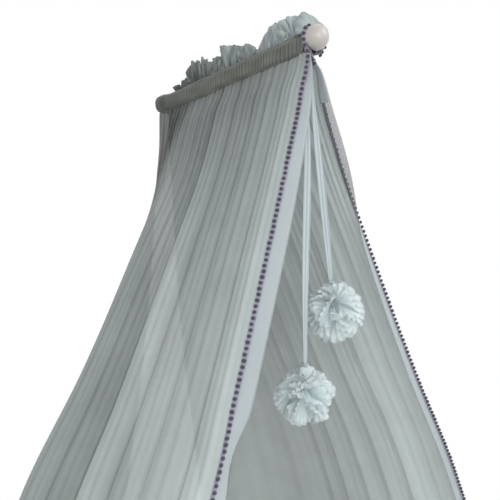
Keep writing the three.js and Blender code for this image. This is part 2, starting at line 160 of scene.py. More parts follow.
def mixed(tree, share, first, second):
    """The colour that lies a share of the way from the first to the second."""
    inputs = {"Factor": share, "A": first, "B": second}
    return node(tree, "Mix", inputs, data_type="RGBA").outputs["Result"]


floor_reach = np.array([0.001, floor_radius])[:, None]
floor_ring = full_turn(floor_sides)
floor_points = grid_of(floor_reach * np.cos(floor_ring), floor_reach * np.sin(floor_ring), floor_height)
floor_material, tree, shader = finish("pale_floor", {"Roughness": 0.85})
place = node(tree, "TexCoord").outputs["Object"]
tone = mixed(tree, noise(tree, place, 3.0, 4.0), srgb(246, 246, 244), srgb(250, 250, 249))
tree.links.new(tone, shader.inputs["Base Color"])
flat_place = node(tree, "VectorMath", {0: place, 1: (1, 1, 0)}, operation="MULTIPLY")
reach = node(tree, "VectorMath", {0: flat_place.outputs[0]}, operation="LENGTH")
fade = node(tree, "MapRange", {
    "Value": reach.outputs["Value"],
    "From Min": floor_fade_start,
    "From Max": floor_fade_end,
    "To Min": 1.0,
    "To Max": 0.0,
})
tree.links.new(fade.outputs["Result"], shader.inputs["Alpha"])
floor = add_piece("floor", grid_mesh("floor", floor_points, wraps=True), floor_material, None)

world = bpy.data.worlds.new("white_room")
bpy.context.scene.world = world
world.use_nodes = True
tree = world.node_tree
tree.nodes.clear()
ray = node(tree, "LightPath").outputs
seen = ray["Is Camera Ray"]
for ray_kind in ("Is Glossy Ray", "Is Transmission Ray"):
    seen = node(tree, "Math", {0: seen, 1: ray[ray_kind]}, operation="MAXIMUM").outputs[0]
ambient = node(tree, "Background", {"Color": (0.97, 0.985, 1, 1), "Strength": sky_level})
white = node(tree, "Background", {"Color": (1, 1, 1, 1), "Strength": 1.0})
room = node(tree, "MixShader", {0: seen, 1: ambient.outputs[0], 2: white.outputs[0]})
node(tree, "OutputWorld", {"Surface": room.outputs[0]})

for lamp_name, (lamp_place, lamp_size, lamp_power) in lamps.items():
    lamp_data = bpy.data.lights.new(lamp_name, "AREA")
    lamp_data.size = lamp_size
    lamp_data.energy = lamp_power
    lamp = bpy.data.objects.new(lamp_name, lamp_data)
    lamp.location = lamp_place
    aim = np.array(lamp_aim) - np.array(lamp_place)
    lamp.rotation_euler = (
        math.atan2(math.hypot(aim[0], aim[1]), -aim[2]),
        0,
        math.atan2(aim[1], aim[0]) - math.pi / 2,
    )
    bpy.context.scene.collection.objects.link(lamp)
bpy.context.scene.view_settings.view_transform = "Standard"


# Wall rosette: a turned beech disc, sprayed white, with three countersunk holes and a recess for the
# rod. It is the CAD node's own shape, with its rim smoothed.
def set_surface(tree, shader, tone, height, strength, distance):
    """A surface's colour, and its fine relief from the grey of a texture."""
    tree.links.new(tone, shader.inputs["Base Color"])
    bump = node(tree, "Bump", {"Height": height, "Strength": strength, "Distance": distance})
    tree.links.new(bump.outputs["Normal"], shader.inputs["Normal"])


def painted_wood(name, low, high):
    """Satin white paint: slow mottling of its tone, and a fine bump of brush and grain."""
    material, tree, shader = finish(name, {"Roughness": 0.3, "Coat Weight": 0.35, "Coat Roughness": 0.18})
    place = node(tree, "TexCoord").outputs["Object"]
    mottle = noise(tree, place, 45.0, 5.0)
    stretched = node(tree, "Mapping", {"Vector": place, "Scale": (900, 110, 900)})
    grain = noise(tree, stretched.outputs[0], 1.0, 3.0)
    set_surface(tree, shader, mixed(tree, mottle, low, high), grain, 0.12, 0.0004)
    worn = node(tree, "MapRange", {"Value": mottle, "To Min": 0.26, "To Max": 0.42})
    tree.links.new(worn.outputs["Result"], shader.inputs["Roughness"])
    return material


def mend(mesh, merge=1e-7, fill=False, turn_out=True):
    """Merges points that meet, closes open ends and turns faces outwards, each where it is asked."""
    shell = bmesh.new()
    shell.from_mesh(mesh)
    if merge:
        bmesh.ops.remove_doubles(shell, verts=shell.verts, dist=merge)
    if fill:
        open_edges = [edge for edge in shell.edges if edge.is_boundary]
        bmesh.ops.holes_fill(shell, edges=open_edges, sides=4)
    if turn_out:
        bmesh.ops.recalc_face_normals(shell, faces=shell.faces)
    shell.to_mesh(mesh)
    shell.free()


def smooth_to_edges(mesh, degrees):
    """Shades a mesh smooth, apart from the edges that bend by more than the angle."""
    mesh.polygons.foreach_set("use_smooth", np.ones(len(mesh.polygons), bool))
    mesh.set_sharp_from_angle(angle=math.radians(degrees))


white_paint = painted_wood("white_paint", srgb(226, 221, 213), srgb(236, 232, 226))
rosette_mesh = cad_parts["wall_rosette"].data.copy()
rosette_mesh.materials.clear()
mend(rosette_mesh, merge=1e-6, turn_out=False)
smooth_to_edges(rosette_mesh, 32)
add_piece("turned_rosette", rosette_mesh, white_paint, "canopy", ["wall_rosette"])


# Rod and screws: a planed beech dowel that stays bare inside the cloth, three countersunk screws in
# the rosette and the two double-ended screws that join rosette, rod and ball.
def long_grained_wood(name):
    """Bare beech: growth lines run along the dowel, with short dark flecks between them."""
    material, tree, shader = finish(name, {"Roughness": 0.55})
    place = node(tree, "TexCoord").outputs["Object"]
    along = node(tree, "Mapping", {"Vector": place, "Scale": (260, 7, 260)})
    flecks = node(tree, "Mapping", {"Vector": place, "Scale": (1500, 160, 1500)})
    line = noise(tree, along.outputs[0], 1.0, 6.0)
    fleck = noise(tree, flecks.outputs[0], 1.0, 2.0)
    wood = mixed(tree, line, srgb(196, 152, 104), srgb(228, 196, 150))
    wood = mixed(tree, fleck, wood, srgb(205, 168, 122))
    set_surface(tree, shader, wood, fleck, 0.2, 0.0003)
    return material


def rolled_steel(name):
    """Zinc-plated screw steel: a metal whose tone varies a little, with the fine ridges of a thread."""
    material, tree, shader = finish(name, {"Metallic": 1.0, "Roughness": 0.32})
    place = node(tree, "TexCoord").outputs["Object"]
    tone = mixed(tree, noise(tree, place, 320.0, 4.0), srgb(168, 170, 174), srgb(206, 207, 208))
    thread = node(tree, "TexWave", {"Vector": place, "Scale": 250.0}, bands_direction="Y")
    set_surface(tree, shader, tone, thread.outputs["Fac"], 0.6, 0.0004)
    return material


bare_beech = long_grained_wood("bare_beech")
screw_steel = rolled_steel("screw_steel")
screws = ["rosette_screw_1", "rosette_screw_2", "rosette_screw_3", "rod_hanger_screw", "finial_dowel_screw"]
for kept_name in ["rod", *screws]:
    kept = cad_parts[kept_name]
    kept.data.materials.clear()
    kept.data.materials.append(screw_steel if kept_name in screws else bare_beech)


# Ball finial: a turned ball with a flat seat against the rod's end, painted white like the rosette; its
# colour here is set greyer than the rosette's, a painted shade.
ball_radius = 0.024
ball_middle = -0.6
rod_radius = 0.014
ball_steps = 44
ball_sides = 88


def turned(name, profile, sides):
    """A profile of (radius, place along Y) turned about the rod's axis; its ends close on the axis."""
    radius, place = np.array(profile).T[..., None]
    angle = full_turn(sides)
    mesh = grid_mesh(name, grid_of(radius * np.cos(angle), place, radius * np.sin(angle)), wraps=True)
    mend(mesh)
    smooth_to_edges(mesh, 35)
    return mesh


seat_angle = math.asin(rod_radius / ball_radius)
ball_angles = np.linspace(seat_angle, math.pi, ball_steps)
ball_profile = [(0, ball_middle + ball_radius * math.cos(seat_angle))]
ball_profile += [
    (ball_radius * math.sin(angle), ball_middle + ball_radius * math.cos(angle))
    for angle in ball_angles[:-1]
]
ball_profile.append((0, ball_middle - ball_radius))
# The same white paint as the rosette, set greyer as painted shade.
shaded_ball_paint = painted_wood("shaded_ball_paint", srgb(168, 162, 157), srgb(182, 176, 171))
ball_mesh = turned("turned_ball", ball_profile, ball_sides)
add_piece("turned_ball", ball_mesh, shaded_ball_paint, "canopy", ["ball_finial"])


# Rod channel: the cloth's sewn sleeve, pushed together on the rod so that it stands in fine ruches.
# It hugs the rod above, hangs slack below it and is smooth on its last stretch next to the wall.
channel_front = -0.570
channel_rear = -0.0015
ruche_end = -0.119
ruche_fade = 0.03
ruche_count = 46
ruche_depth = 0.0026
loose_depth = 0.0013
channel_inner = 0.0156
channel_slack = 0.014
channel_lip = 0.012
channel_step_back = 0.005
flare_start = -0.566
flare_run = 0.004
flare_depth = 0.0016
rear_marks = [-0.119, -0.090, -0.052, -0.017, -0.0015]
rear_width_shares = [0, 0.02, 0.16, 1, 1]
rear_slack_shares = [1, 0.86, 0.6, 0.36, 0.36]
rear_widening = 0.0053
sleeve_rows = 560
sleeve_columns = 64
sleeve_flat = (0.135, 0.72)
sleeve_thread_length = 1.1
cloth_thickness = 0.0006
# What the wave texture's bands measure at a scale of 1, in metres
wave_pitch = 0.314


def ripples(seed, count, fastest, *axes):
    """Smooth random relief from -1 to 1: a sum of sines with seeded directions and phases."""
    draw = np.random.default_rng(seed)
    total = 0
    for wave in range(count):
        speed = draw.uniform(-fastest, fastest, len(axes))
        phase = draw.uniform(0, 2 * np.pi)
        total = total + np.sin(sum(rate * axis for rate, axis in zip(speed, axes)) + phase)
    return total / math.sqrt(count) / 1.5


def voile(name, shade, light, alpha, thread=0.0011, sheen=0.25, uneven=0.12):
    """Sheer cotton voile: crossed threads on the cloth's own UV, a slow drift of its dye, and painted shade:
    a value stored on each point mixes the colour from light towards shade, in creases and wherever else the
    cloth is set darker."""
    material, tree, shader = finish(name, {
        "Roughness": 0.88,
        "Alpha": alpha,
        "Sheen Weight": sheen,
        "Sheen Roughness": 0.55,
        "Specular IOR Level": 0.2,
    })
    cloth = node(tree, "TexCoord").outputs["UV"]
    place = node(tree, "TexCoord").outputs["Object"]
    painted_shade = node(tree, "Attribute", attribute_name="painted_shade").outputs["Fac"]
    dye = node(tree, "MapRange", {
        "Value": noise(tree, place, 9.0, 6.0, 0.6),
        "From Min": 0.3,
        "From Max": 0.7,
        "To Min": -uneven,
        "To Max": uneven,
    })
    # The painted shade stored on each point, plus the dye's random drift, sets how far the colour goes
    # towards shade.
    shade_and_dye = node(tree, "Math", {0: painted_shade, 1: dye.outputs["Result"]}, operation="ADD")
    tone = mixed(tree, shade_and_dye.outputs[0], light, shade)
    bands = [
        node(tree, "TexWave", {
            "Vector": cloth,
            "Scale": wave_pitch / thread,
            "Distortion": 0.6,
            "Detail": 1.0,
        }, bands_direction=direction).outputs["Fac"]
        for direction in "XY"
    ]
    weave = node(tree, "Math", {0: bands[0], 1: bands[1]}, operation="MAXIMUM")
    woven = mixed(tree, weave.outputs[0], mixed(tree, 0.92, (0, 0, 0, 1), tone), tone)
    slubs = noise(tree, cloth, 420.0, 3.0)
    relief = node(tree, "Math", {0: weave.outputs[0], 1: slubs}, operation="ADD")
    set_surface(tree, shader, woven, relief.outputs[0], 0.35, 0.0003)
    return material


def set_painted_shade(mesh, values):
    """The painted shade of each point, from 0 at the light colour to 1 at the shade colour: darker in fold
    valleys and where shade falls.
    """
    layer = mesh.attributes.new("painted_shade", "FLOAT", "POINT")
    layer.data.foreach_set("value", np.clip(values, 0, 1).reshape(-1).astype(np.float32))


def thicken(piece, thickness):
    """Gives a sheet its thickness, shared between both its faces, and closes its edges."""
    walls = piece.modifiers.new("thickness", "SOLIDIFY")
    walls.thickness = thickness
    walls.offset = 0
    walls.use_even_offset = False


def cloth_piece(name, surface, uv, material, thickness, body, replaced, wraps=False):
    """A sheet of cloth from its surface, which is its points and the painted shade of each."""
    points, painted_shade = surface
    mesh = grid_mesh(name, points, uv, wraps)
    set_painted_shade(mesh, painted_shade)
    piece = add_piece(name, mesh, material, body, replaced)
    thicken(piece, thickness)
    return piece


def smooth_curve(marks, values, at):
    """A curve through the marked values: each span is a cubic whose end slopes are the harmonic mean
    of the spans beside it, so that it never swings past a mark."""
    marks, values = np.asarray(marks, float), np.asarray(values, float)
    widths = np.diff(marks)
    slopes = np.diff(values) / widths
    same = slopes[:-1] * slopes[1:] > 0
    ends = np.zeros_like(values)
    total = np.where(same, slopes[:-1] + slopes[1:], 1)
    ends[1:-1] = np.where(same, 2 * slopes[:-1] * slopes[1:] / total, 0)
    ends[0], ends[-1] = slopes[0], slopes[-1]
    span = np.clip(np.searchsorted(marks, at, side="right") - 1, 0, len(widths) - 1)
    t = (at - marks[span]) / widths[span]
    return (
        (1 + 2 * t) * (1 - t) ** 2 * values[span]
        + t * (1 - t) ** 2 * widths[span] * ends[span]
        + t ** 2 * (3 - 2 * t) * values[span + 1]
        + t ** 2 * (t - 1) * widths[span] * ends[span + 1]
    )


def sleeve_surface():
    """Round the rod at each place along it: a circle whose lower half hangs down by the slack, with
    ruches that rise from the radius as rounded ridges with tight valleys and lean along the rod. Its
    front lip reaches forward, but steps back below, and its last stretch widens over the rosette."""
    along = np.linspace(0, 1, sleeve_rows)[:, None]
    angle = full_turn(sleeve_columns)[None, :]
    place = channel_front + (channel_rear - channel_front) * along
    lip = channel_lip * np.clip(1.6 + 2 * np.sin(angle), 0, 1) ** 0.8
    lip = lip - channel_step_back * np.clip(-3.25 - 5 * np.sin(angle), 0, 1)
    lip = lip * np.clip(1 - 12 * along, 0, 1)
    drift = 1.6 * np.sin(9 * along + 1) + 1.5 * np.sin(31 * along) + 0.9 * np.sin(2 * angle + 14 * along)
    drift = drift + 0.77 * np.pi * (1 - along) * np.sin(angle)
    phase = 2 * np.pi * ruche_count * (place - channel_front) / (ruche_end - channel_front) + drift
    ridge = np.abs(np.sin(phase / 2)) ** 0.7
    fine = np.abs(np.sin(phase * 0.79 + 1.3 * np.sin(angle + 11 * along)))
    strength = 0.62 + 0.60 * ripples(11, 8, 30, along * 2, angle * 0.3)
    gathered = np.clip((ruche_end - place) / ruche_fade, 0, 1)
    loose = 0.5 + 0.5 * np.sin(7 * angle + 40 * along) * ripples(12, 6, 6, along * 9, angle)
    relief = gathered * ruche_depth * (0.66 * ridge * strength + 0.34 * fine)
    relief = relief + (1 - gathered) * loose_depth * loose
    rear_place = np.maximum(place, rear_marks[0])
    widening = rear_widening * smooth_curve(rear_marks, rear_width_shares, rear_place)
    flare = flare_depth * np.clip((flare_start - place + lip) / flare_run, 0, 1)
    radius = channel_inner + relief + widening + flare
    slack = channel_slack * smooth_curve(rear_marks, rear_slack_shares, rear_place)
    slack = slack * np.clip(-3.5 * np.sin(angle), 0, 1) * (1 + 0.1 * ripples(13, 4, 3, along * 7))
    points = grid_of(radius * np.cos(angle), place - lip, radius * np.sin(angle) - slack)
    # Painted shade: darker in the ruches' valleys and towards the wall, lighter on their ridges, unevenly;
    # the smooth rear stretch is dark with lighter loose ripples.
    painted_shade = 0.96 - 0.50 * ridge - 0.28 * fine + 0.20 * ripples(14, 9, 20, along * 3, angle) + 0.2 * along
    return points, gathered * painted_shade + (1 - gathered) * (1 - 0.4 * loose)


# A darker copy of the voile for the channel: its colours are a painted shade, as the channel lies in shade
# under the heading; its alpha is higher for the gathered layers.
gathered_voile = voile("gathered_voile", srgb(66, 70, 62), srgb(116, 119, 111), 0.92)
sleeve_uv = grid_of(
    np.linspace(0, sleeve_thread_length, sleeve_rows)[:, None],
    np.linspace(0, sleeve_flat[0], sleeve_columns, endpoint=False)[None, :],
)
sleeve = cloth_piece(
    "ruched_channel", sleeve_surface(), sleeve_uv, gathered_voile, cloth_thickness,
    "canopy", ["header_sleeve"], wraps=True,
)


# Heading: the folded loop of cloth above the channel. Gathered on the rod, it bursts into clumps of
# fan-shaped petals, and its front end opens into a hood that arches over the ball's back.
heading_foot = 0.0178
# Each petal's foot, rear and front along Y, its rear, middle and front heights, and its lean
petals = [
    (-0.088, -0.066, -0.106, 0.029, 0.031, 0.026, -0.006),
    (-0.130, -0.104, -0.158, 0.042, 0.043, 0.036, 0.008),
    (-0.172, -0.135, -0.204, 0.055, 0.069, 0.061, -0.009),
    (-0.222, -0.200, -0.250, 0.075, 0.060, 0.043, 0.006),
    (-0.266, -0.248, -0.282, 0.038, 0.050, 0.053, -0.008),
    (-0.322, -0.281, -0.356, 0.080, 0.071, 0.056, 0.006),
    (-0.384, -0.352, -0.422, 0.043, 0.049, 0.032, -0.008),
    (-0.458, -0.428, -0.494, 0.050, 0.072, 0.054, 0.008),
    (-0.506, -0.482, -0.528, 0.048, 0.042, 0.026, -0.010),
    (-0.538, -0.492, -0.548, 0.064, 0.069, 0.052, 0.004),
]
petal_foot_share = 0.62
petal_pitch = 6
petal_span = 4
foot_pleat_depth = 0.0018
top_pleat_depth = 0.0034
pleat_sway = 0.0022
heading_crumple_depth = 0.0024
foot_puff = 0.0008
middle_puff = 0.0022
least_puff = 0.0006
heading_columns = 620
heading_rise_steps = 15
heading_flat = (0.11, 0.85)


def unit(vectors):
    """The same ways, each with a length of 1."""
    return vectors / np.maximum(np.linalg.norm(vectors, axis=-1, keepdims=True), 1e-9)


def heading_surface():
    """A hairpin sheet: up one face, over the folded top and down the other. Along the rod it runs
    from petal to petal, dipping and crossing to the other side between them. Each petal is narrow at
    its foot and spreads upwards, with pleats that start at the foot and open towards the top."""
    stations = []
    for number, (foot, rear, front, rear_height, middle_height, front_height, lean) in enumerate(petals):
        for share in (0, 0.25, 0.5, 0.75, 1):
            bow = 4 * share * (1 - share)
            height = rear_height + (front_height - rear_height) * share
            height += (middle_height - (rear_height + front_height) / 2) * bow ** 0.6
            stations.append((
                number * petal_pitch + share * petal_span,
                foot + (front - rear) * (share - 0.5) * petal_foot_share,
                rear + (front - rear) * share,
                height,
                lean * (0.55 + 0.45 * bow),
            ))
        if number + 1 < len(petals):
            next_foot, next_rear, next_front, next_height = petals[number + 1][:4]
            next_start = next_foot - (next_front - next_rear) * 0.5 * petal_foot_share
            stations.append((
                number * petal_pitch + petal_span + 1,
                (stations[-1][1] + next_start) / 2,
                (front + next_rear) / 2,
                heading_foot + (min(front_height, next_height) - heading_foot) * 0.55,
                0,
            ))
    marks, *tracks = np.transpose(stations)
    along = np.linspace(0, marks[-1], heading_columns)
    foot, top, height, lean = (smooth_curve(marks, track, along)[None, :] for track in tracks)
    along = along[None, :]
    rise = np.linspace(0, 1, heading_rise_steps)
    rise = np.concatenate([rise, rise[::-1][1:]])[:, None]
    face = np.sign(np.arange(len(rise)) - heading_rise_steps + 1)[:, None]
    pleat_turn = 2 * np.pi * (0.95 * along + 0.5 * np.sin(1.7 * along))
    pleat = foot_pleat_depth * (1 - 0.55 * rise) * np.sin(pleat_turn)
    pleat = pleat + top_pleat_depth * rise ** 2 * np.sin(pleat_turn / 2 + 1)
    crumple = heading_crumple_depth * rise * ripples(22, 9, 5, along, rise * 1.2)
    tip = 1 + 0.018 * np.sin(pleat_turn / 2) + 0.03 * ripples(25, 8, 7, along)
    middle = grid_of(
        lean * rise ** 1.3 + pleat + crumple,
        foot + (top - foot) * rise ** 1.25 + pleat_sway * rise * np.cos(pleat_turn),
        heading_foot + (height * tip - heading_foot) * rise,
    )
    up = np.gradient(middle[:heading_rise_steps], axis=0)
    up = np.concatenate([up, up[::-1][1:]])
    normal = unit(np.cross(np.gradient(middle, axis=1), up))
    uneven = 1 + 0.6 * ripples(26, 6, 8, along, rise)
    puff = np.maximum(foot_puff + middle_puff * np.sin(np.pi * rise ** 1.4) * uneven, least_puff)
    points = middle + normal * (face * puff)[..., None]
    # Painted shade: darker low near the channel, towards the wall, in the pleats and along the folded top,
    # lighter towards the front, with some unevenness.
    painted_shade = 1.32 - 0.34 * rise + 0.15 * np.sin(pleat_turn + 0.6) * (1 - 0.5 * rise)
    painted_shade = painted_shade - along / marks[-1] + 0.16 * ripples(28, 7, 4, along, rise * 2)
    painted_shade = painted_shade + 0.55 * np.clip(rise - 0.93, 0, 1) / 0.07 + 0.10 * ripples(27, 5, 6, along, rise)
    return points, painted_shade


heading_voile = voile("heading_voile", srgb(84, 90, 86), srgb(188, 200, 200), 0.76)
heading_uv = grid_of(
    np.linspace(0, heading_flat[1], heading_columns)[None, :],
    np.linspace(0, heading_flat[0], 2 * heading_rise_steps - 1)[:, None],
)
heading = cloth_piece(
    "petalled_heading", heading_surface(), heading_uv, heading_voile, cloth_thickness,
    "canopy", ["header_frill"],
)

hood_edge = [
    (-0.0200, -0.586, 0.004), (-0.0170, -0.587, 0.0135), (-0.0095, -0.587, 0.0205), (0.001, -0.587, 0.0225),
    (0.014, -0.587, 0.0225), (0.029, -0.588, 0.0175), (0.036, -0.588, 0.0105), (0.036, -0.584, -0.003),
    (0.030, -0.581, -0.014), (0.0245, -0.583, -0.0215),
]
hood_crest = [
    (-0.0215, -0.571, 0.010), (-0.018, -0.566, 0.028), (-0.010, -0.564, 0.048), (0.001, -0.566, 0.060),
    (0.015, -0.571, 0.056), (0.031, -0.577, 0.045), (0.045, -0.580, 0.035), (0.042, -0.572, 0.012),
    (0.031, -0.567, -0.011), (0.025, -0.569, -0.020),
]
hood_root = [
    (-0.012, -0.550, 0.015), (-0.008, -0.549, 0.030), (-0.004, -0.548, 0.044), (0.001, -0.548, 0.052),
    (0.004, -0.548, 0.047), (0.007, -0.548, 0.038), (0.009, -0.549, 0.026), (0.011, -0.550, 0.015),
    (0.016, -0.550, -0.006), (0.0145, -0.551, -0.0135),
]
hood_rows = 96
hood_columns = 26
hood_pleats = 9
hood_pleat_depth = 0.0011
hood_flat = (0.14, 0.06)


def curve_through(line, share):
    """A smooth curve through a line's points, at shares of their number."""
    marks = np.linspace(0, 1, len(line))
    return np.stack([smooth_curve(marks, values, share) for values in np.transpose(line)], axis=-1)


def hood_surface():
    """From the trimmed edge over the crest to the root: a parabola through one point of each line at
    every step round the arch, with pleats that open from the root."""
    turn = np.linspace(0, 1, hood_rows)
    edge, crest, root = (curve_through(line, turn)[:, None] for line in (hood_edge, hood_crest, hood_root))
    back = np.linspace(0, 1, hood_columns)[None, :, None]
    points = edge * (1 - back) * (1 - 2 * back) + crest * 4 * back * (1 - back) + root * back * (2 * back - 1)
    normal = unit(np.cross(np.gradient(points, axis=0), np.gradient(points, axis=1)))
    turn, back = turn[:, None], back[..., 0]
    pleat = np.sin(2 * np.pi * hood_pleats * turn + 1.5 * back)
    points = points + normal * (hood_pleat_depth * back * pleat)[..., None]
    # Painted shade: darker towards the root, in the pleats and towards the arch's far end.
    return points, 0.10 + 0.35 * back + 0.30 * back * pleat + 0.35 * turn


hood_uv = grid_of(
    np.linspace(0, hood_flat[0], hood_rows)[:, None],
    np.linspace(0, hood_flat[1], hood_columns)[None, :],
)
hood = cloth_piece(
    "heading_hood", hood_surface(), hood_uv, heading_voile, cloth_thickness, "canopy", (),
)


# Drops: the two curtains of the tent. Each hangs from the channel's underside in many narrow folds,
# which join into broad ones as the cloth spreads over the bed. Its front and its foot have hems.
drop_top = -0.03233
drop_length = 1.897
drop_spread = 0.605
front_reach = 0.084
front_hem_place = -0.558
corner_place = -0.119
corner_drift = 0.050
wall_edge_place = -0.012
corner_share = 0.82
corner_soft_share = 0.12
hem_band_width = 0.032
trim_width = 0.009
fold_depth = 0.019
fold_count = 17
least_offset = 0.0016
hem_gap = 0.0011
level_marks = [0, 0.015, 0.036, 0.1, 0.2, 0.34, 0.47, 0.62, 0.685, 0.75, 1]
wall_edge_shares = [0.024, 0.024, 0.024, 0.04, 0.06, 0.1, 0.157, 0.215, 0.232, 0.241, 0.248]
fold_depth_shares = [0.22, 0.28, 0.35, 0.5, 0.68, 0.85, 1, 1, 1, 1, 1]
fold_marks = [
    0, 0.05, 0.10, 0.17, 0.24, 0.30, 0.365, 0.43, 0.49, 0.55, 0.615, 0.665, 0.715, 0.77, 0.83, 0.89, 0.945, 1,
]
fold_size_shares = [0.5, 0.6, 1, 0.7, 0.6, 0.75, 0.6, 1, 0.7, 0.9, 0.5, 0.7, 0.55, 0.7, 0.6, 0.6, 0.4]
joined_folds = [0, 2, 4, 6, 8, 10, 12, 14, 17]
joined_size_shares = [0.7, 0.8, 1, 1, 0.75, 0.8, 0.7, 0.5]
sheer_levels = (0.042, 0.17)
twist_level = 0.372
twist_start = 0.34
fold_wander = 0.010
fold_slide = 0.18
narrow_depth_above = 0.0062
narrow_depth_below = 0.0022
drop_crumple_depth = 0.0016
tuck_end = -0.555
tuck_run = 0.015
# Each list has a share for each level mark, but the painted shade of each fold has one for each fold and the
# painted shade in the valleys one for each of the folds' edges; top and rear shade are painted shade under
# the channel and in the rear corner.
drop_sides = {
    "left": {
        "side": -1,
        "front": [0.020, 0.0235, 0.0325, 0.100, 0.206, 0.36, 0.504, 0.636, 0.677, 0.703, 0.727],
        "reach": [0.42, 0.37, 0.265, 0.38, 0.52, 0.73, 0.87, 0.95, 0.968, 0.982, 1],
        "band": [0.1, 0.32, 0.6, 0.85, 1, 1, 1, 1, 1, 1, 1],
        "corner": [0.005, 0.022, 0.046, 0.109, 0.270, 0.501, 0.733, 0.899, 0.955, 0.984, 1.002],
        "turn": [0, 0.25, 0.6, 0.9, 1, 1, 1, 1, 1, 1, 1],
        "fold_shades": [
            0.18, 0.32, 0.36, 0.42, 0.42, 0.44, 0.36, 0.30, 0.58,
            0.55, 0.50, 0.47, 0.45, 0.50, 0.48, 0.48, 0.48,
        ],
        "valley_shades": [
            0, 0.3, 0.5, 0.45, 0.55, 0.45, 0.85, 0.3, 1,
            0.45, 0.6, 0.5, 0.6, 0.7, 0.6, 0.7, 0.6, 0.5,
        ],
        "top_shade": 1.0,
        "rear_shade": 0.56,
        "narrow": 1.0,
        "roundness": 0.65,
        "bare_trim": 0,
        "band_angle": math.radians(51),
        "twist": math.radians(30),
        "seed": 31,
    },
    "right": {
        "side": 1,
        "front": [0.024, 0.0388, 0.056, 0.115, 0.257, 0.474, 0.706, 0.912, 0.957, 0.985, 1],
        "reach": [0.19, 0.30, 0.25, 0.38, 0.52, 0.73, 0.87, 0.95, 0.968, 0.982, 1],
        "band": [0.1, 0.3, 0.6, 0.85, 1, 1, 1, 1, 1, 1, 1],
        "corner": [0.005, 0.021, 0.043, 0.099, 0.223, 0.413, 0.61, 0.785, 0.845, 0.885, 0.91],
        "turn": [0, 0, -0.03, 0.08, 0.75, 0.92, 1, 1, 1, 1, 1],
        "fold_shades": [
            -0.05, 0, -0.08, 0.02, 0.12, 0.18, 0.2, 0.22, 0.26,
            0.3, 0.34, 0.36, 0.38, 0.4, 0.4, 0.4, 0.4,
        ],
        "valley_shades": [
            0, 0.3, 0.9, 0.3, 0.7, 0.4, 0.8, 0.4, 0.8,
            0.5, 0.5, 0.6, 0.5, 0.5, 0.5, 0.5, 0.5, 0.4,
        ],
        "top_shade": 0.4,
        "rear_shade": 0.12,
        "narrow": 0.6,
        "roundness": 1.0,
        "bare_trim": 0.06,
        "band_angle": math.radians(86),
        "twist": 0,
        "seed": 41,
    },
}
drop_rows = 120
columns_per_fold = 15
tuck_share = 0.5
tuck_rise = 0.009
band_columns = 7
hem_rows = 4
hem_height_share = 0.021
measured_row = 70


def drop_lines(which, level):
    """In plan at each level of a drop: the trim's line, the band's way, the rear corner and the wall
    edge."""
    side = which["side"]
    front, corner, wall = (
        side * drop_spread * smooth_curve(level_marks, shares, level)
        for shares in (which["front"], which["corner"], wall_edge_shares)
    )
    reach, turn = (smooth_curve(level_marks, which[name], level) for name in ("reach", "turn"))
    curl = np.exp(-((level - twist_level) / 0.03) ** 2) + np.clip((level - twist_start) / 0.05, 0, 1)
    angle = which["band_angle"] * turn + which["twist"] * curl
    return (
        grid_of(front, front_hem_place - front_reach * reach),
        grid_of(-side * np.sin(angle), -np.cos(angle)),
        grid_of(corner, corner_place - corner_drift * level),
        grid_of(wall, wall_edge_place),
    )


def quarter_turn(ways):
    """Ways in plan, turned to the right by a quarter."""
    return np.stack([ways[..., 1], -ways[..., 0]], axis=-1)


def per_fold(values, number):
    """A smooth curve through one value for each fold, set at the folds' middles."""
    middles = np.arange(len(values)) + 0.5
    return smooth_curve(middles, values, np.clip(number, middles[0], middles[-1]))


